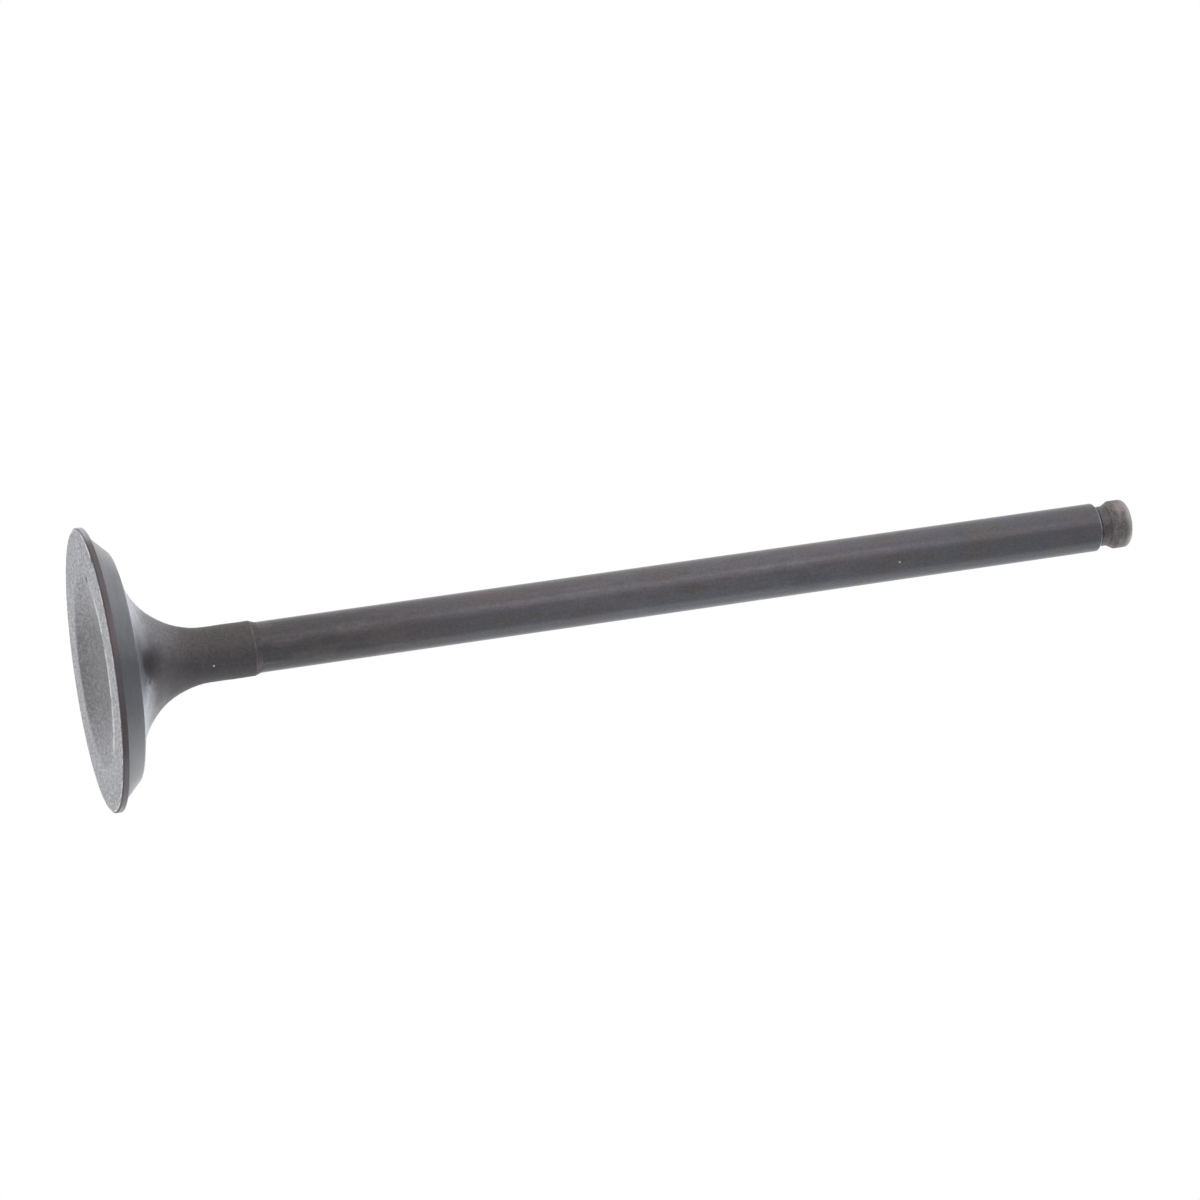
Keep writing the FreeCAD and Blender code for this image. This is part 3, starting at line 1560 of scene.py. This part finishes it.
@dataclass(frozen=True)
class PhotoCamera:
    """Camera that stands where the photograph was taken.

    Args:
        lens: Focal length.
        sensor: Width of the sensor.
        frame: Width of the picture in its own pixels.
        face_across: Where the face's centre falls across the picture, in pixels.
        face_down: Where the face's centre falls down the picture, in pixels.
        distance: Depth of the face's centre along the line of sight.
        rise: Angle by which the camera looks up the stem, in radians.
        roll: Angle by which the stem climbs across the picture, in radians.
        nearest: Depth from which things show, in metres.
        farthest: Depth out to which things show, in metres.
    """

    lens: float = 111.41
    sensor: float = 36.0
    frame: float = 1200.0
    face_across: float = 93.32
    face_down: float = 671.08
    distance: float = 498.93
    rise: float = 0.27717
    roll: float = 0.14300
    nearest: float = 0.01
    farthest: float = 100.0

    def build(self) -> None:
        """Makes the camera and makes it the scene's own."""
        rise, roll = self.rise, self.roll
        ahead = Vector((0, math.cos(rise), math.sin(rise)))
        side = Vector((0, -math.sin(rise), math.cos(rise)))
        right = Vector((1, 0, 0)) * math.sin(roll) + side * math.cos(roll)
        up = Vector((-1, 0, 0)) * math.cos(roll) + side * math.sin(roll)
        per_pixel = self.sensor / self.frame / self.lens
        across = (self.face_across - self.frame / 2) * per_pixel
        down = (self.face_down - self.frame / 2) * per_pixel
        place = (up * down - right * across - ahead) * self.distance * MM
        turned = Matrix((right, up, -ahead)).transposed().to_4x4()
        data = bpy.data.cameras.new("photo_camera")
        data.lens, data.sensor_width = self.lens, self.sensor
        data.clip_start, data.clip_end = self.nearest, self.farthest
        camera = add_object("photo_camera", data)
        camera.matrix_world = Matrix.Translation(place) @ turned
        bpy.context.scene.camera = camera


@dataclass(frozen=True)
class Bearing:
    """Direction from the valve, in degrees.

    Args:
        turn: Angle from the camera's side, -Y, towards +X, which is down in the picture.
        rise: Angle above the floor.
    """

    turn: float
    rise: float

    def direction(self) -> Vector:
        """Unit vector away from the valve.

        Returns:
            The vector.
        """
        turn, rise = math.radians(self.turn), math.radians(self.rise)
        flat = Vector((math.sin(turn), -math.cos(turn), 0)) * math.cos(rise)
        return flat + Vector((0, 0, math.sin(rise)))


@dataclass(frozen=True)
class Stand:
    """What stands round the valve and faces it. Its sizes are in metres.

    Args:
        name: Name of what stands there.
        bearing: Where it stands.
        distance: Distance from the middle of the valve.
        light: How light it looks, 1 being white.
    """

    name: str
    bearing: Bearing
    distance: float
    light: float

    def hold(self, data: bpy.types.ID, aim: Vector) -> bpy.types.Object:
        """Makes the object, which the camera doesn't see.

        Args:
            data: Lamp or mesh that it holds.
            aim: Point that it faces.

        Returns:
            The object, at its place.
        """
        made = add_object(self.name, data)
        direction = self.bearing.direction()
        made.location = aim + direction * self.distance
        made.rotation_euler = direction.to_track_quat("Z", "Y").to_euler()
        hide_from(made, Ray.CAMERA)
        return made


@dataclass(frozen=True)
class Softbox(Stand):
    """Large soft lamp.

    Args:
        size: Side of its square.
        mirrored: Whether it shows in reflections too.
    """

    size: float
    mirrored: bool = True

    def build(self, aim: Vector) -> None:
        """Makes the lamp.

        Args:
            aim: Point that it faces.
        """
        data = bpy.data.lights.new(self.name, "AREA")
        data.shape = "SQUARE"
        data.size = self.size
        data.energy = self.light * math.pi * self.size**2
        lamp = self.hold(data, aim)
        if not self.mirrored:
            hide_from(lamp, Ray.GLOSSY)


@dataclass(frozen=True)
class GreyCard(Stand):
    """Grey card beside the valve, which only reflections see.

    Args:
        size: Its width and height.
        soft: Share of its half size over which its edge fades.
    """

    size: Span
    soft: float

    def cloth(self) -> bpy.types.Material:
        """Material of the card: grey in the middle and clear at its edge.

        Returns:
            The material.
        """
        made = bpy.data.materials.new(self.name)
        sheet = NodeSheet(emptied(made))
        split = sheet.split(sheet.out("ShaderNodeTexCoord", output="Generated"))
        share: Number = 1.0
        for axis in (0, 1):
            off = sheet.reckon("ABSOLUTE", sheet.reckon("MULTIPLY_ADD", split[axis], 2.0, -1.0))
            share = sheet.reckon("MULTIPLY", share, sheet.remap(off, 1 - self.soft, 1, 1, 0))
        grey = sheet.out("ShaderNodeEmission", {"Strength": self.light})
        clear = sheet.out("ShaderNodeBsdfTransparent")
        sheet.show(share, clear, grey, "ShaderNodeOutputMaterial")
        return made

    def build(self, aim: Vector) -> None:
        """Makes the card.

        Args:
            aim: Point that it faces.
        """
        mesh = bpy.data.meshes.new(self.name)
        x, y = (side / 2 for side in self.size)
        mesh.from_pydata([(-x, -y, 0), (x, -y, 0), (x, y, 0), (-x, y, 0)], [], [(0, 1, 2, 3)])
        mesh.materials.append(self.cloth())
        card = self.hold(mesh, aim)
        hide_from(card, Ray.DIFFUSE, Ray.TRANSMISSION, Ray.SHADOW)


@dataclass(frozen=True)
class StudioFloor:
    """Pale floor that the valve stands on, seen only from above.

    The photograph looks at the combustion face from a little below it, so the floor is
    clear from underneath and leaves the face itself open. A narrow strip, which only the
    camera meets, closes the opening beside the rim for views from above.

    Args:
        solid: Radius out to which the floor is solid, in metres.
        reach: Radius at which it has faded into the white room, in metres.
        opening: Radius of the opening under the face.
        strip_width: Width of the strip inside the opening.
        strip_drop: How far the strip lies below the floor.
        pale: Colour of the floor.
        shading: How light the darker points of its grain are beside that colour.
        grain: Size of its grain.
        roughness: Roughness of the card.
        gloss: How strongly the card reflects.
        segments: Number of segments round the opening.
    """

    solid: float = 0.3
    reach: float = 1.0
    opening: float = 19.31
    strip_width: float = 0.6
    strip_drop: float = 0.02
    pale: Colour = tone(238, 238, 240)
    shading: float = 0.97
    grain: float = 2.0
    roughness: float = 0.8
    gloss: float = 0.2
    segments: int = 192

    def cloth(self) -> bpy.types.Material:
        """Material of the floor: pale card with a faint grain, clear from below.

        Returns:
            The material.
        """
        made = bpy.data.materials.new("pale_floor")
        skin = Skin(emptied(made))
        darker = tuple(part * self.shading for part in self.pale[:3]) + (1.0,)
        grain = skin.spread(skin.grain(self.grain), (0, 1))
        inputs = {
            "Base Color": skin.blend(grain, self.pale, darker),
            "Roughness": self.roughness,
            "Specular IOR Level": self.gloss,
        }
        card = skin.out("ShaderNodeBsdfPrincipled", inputs)
        clear = skin.out("ShaderNodeBsdfTransparent")
        under = skin.out("ShaderNodeNewGeometry", output="Backfacing")
        faded = skin.remap(skin.radius(), self.solid, self.reach)
        unseen = skin.reckon("MAXIMUM", under, faded)
        skin.show(unseen, card, clear, "ShaderNodeOutputMaterial")
        return made

    def ring(self, name: str, inner: float, outer: float, height: float) -> bpy.types.Object:
        """Makes a flat ring that faces up.

        Args:
            name: Name of the ring.
            inner: Inner radius, in metres.
            outer: Outer radius, in metres.
            height: Height of the ring, in metres.

        Returns:
            The ring, still without a material.
        """
        n = self.segments
        turns = [math.tau * i / n for i in range(n)]
        points = [(r * math.cos(t), r * math.sin(t), height) for r in (inner, outer) for t in turns]
        mesh = bpy.data.meshes.new(name)
        mesh.from_pydata(points, [], [(i, i + n, (i + 1) % n + n, (i + 1) % n) for i in range(n)])
        made = add_object(name, mesh)
        return made

    def build(self) -> None:
        """Makes the floor, and the strip that closes its opening beside the rim."""
        card = self.cloth()
        opening, drop = self.opening * MM, self.strip_drop * MM
        floor = self.ring("floor", opening, self.reach, 0)
        strip = self.ring("floor_strip", opening - self.strip_width * MM, opening + drop, -drop)
        for made in (floor, strip):
            made.data.materials.append(card)
        hide_from(strip, Ray.DIFFUSE, Ray.GLOSSY, Ray.TRANSMISSION, Ray.SHADOW)


@dataclass(frozen=True)
class WhiteRoom:
    """White surroundings, at a softer level where they light matt surfaces.

    Args:
        level: Brightness by which matt surfaces are lit.
    """

    level: float = 0.6

    def build(self) -> None:
        """Makes the world and makes it the scene's own."""
        world = bpy.data.worlds.new("white_room")
        sheet = NodeSheet(emptied(world))
        path = sheet.node("ShaderNodeLightPath").outputs
        seen = sheet.reckon("ADD", path["Is Camera Ray"], path["Is Glossy Ray"])
        seen = sheet.reckon("ADD", seen, path["Is Transmission Ray"], clamp=True)
        soft, full = (
            sheet.out("ShaderNodeBackground", {0: WHITE, 1: level}) for level in (self.level, 1.0)
        )
        sheet.show(seen, soft, full, "ShaderNodeOutputWorld")
        bpy.context.scene.world = world


@dataclass(frozen=True)
class Studio:
    """White studio round the valve.

    Args:
        camera: The photograph's camera.
        floor: Pale floor.
        room: White surroundings.
        stands: Soft lamps, and grey cards that darken the reflections on the camera's side.
        aim: Middle of the valve, in metres.
    """

    camera: PhotoCamera = PhotoCamera()
    floor: StudioFloor = StudioFloor()
    room: WhiteRoom = WhiteRoom()
    stands: tuple[Softbox | GreyCard, ...] = (
        Softbox("key_lamp", Bearing(-35, 17), distance=1.2, light=0.55, size=0.35),
        Softbox("side_lamp", Bearing(-85, 30), distance=1.2, light=1.8, size=0.8, mirrored=False),
        Softbox("fill_lamp", Bearing(100, 50), distance=1.4, light=1.2, size=0.7),
        GreyCard("low_card", Bearing(34, 20), distance=1.0, light=0.52, size=(2.4, 1.3), soft=0.4),
        GreyCard("top_card", Bearing(110, 78), distance=1.0, light=0.46, size=(1.7, 1.7), soft=0.9),
    )
    aim: tuple[float, float, float] = (0.0, 0.0, 0.07)

    def build(self) -> None:
        """Makes the camera, the floor, the surroundings, the lamps and the cards."""
        for part in (self.camera, self.floor, self.room):
            part.build()
        for stand in self.stands:
            stand.build(Vector(self.aim))
            log.info("studio: %s", stand.name)
        bpy.context.scene.view_settings.view_transform = "Standard"


# ---------------------------------------------------------------- assembly


def finishes() -> dict[Zone, Finish]:
    """Finish of each zone of the valve.

    Returns:
        The finishes.
    """
    return {
        Zone.FACE: BlastedFace(),
        Zone.MARGIN: DarkMargin(),
        Zone.SEAT: GroundSeat(),
        Zone.NECK: ForgedNeck(),
        Zone.STEP: NeckStep(),
        Zone.STEM: NitridedStem(),
        Zone.GROOVE: ScaledTip(),
        Zone.TIP: ScaledTip(),
    }


def main() -> None:
    """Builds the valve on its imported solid, dresses it, and sets up the studio."""
    logging.basicConfig(level=logging.INFO, format="%(message)s")
    design = PoppetValve()
    valve = design.build()
    design.dress(valve, finishes())
    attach(valve, BODY)
    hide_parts(VALVE_NODE)
    log.info("%s: %d faces", valve.name, len(valve.data.polygons))
    Studio().build()


if __name__ == "__main__":
    main()
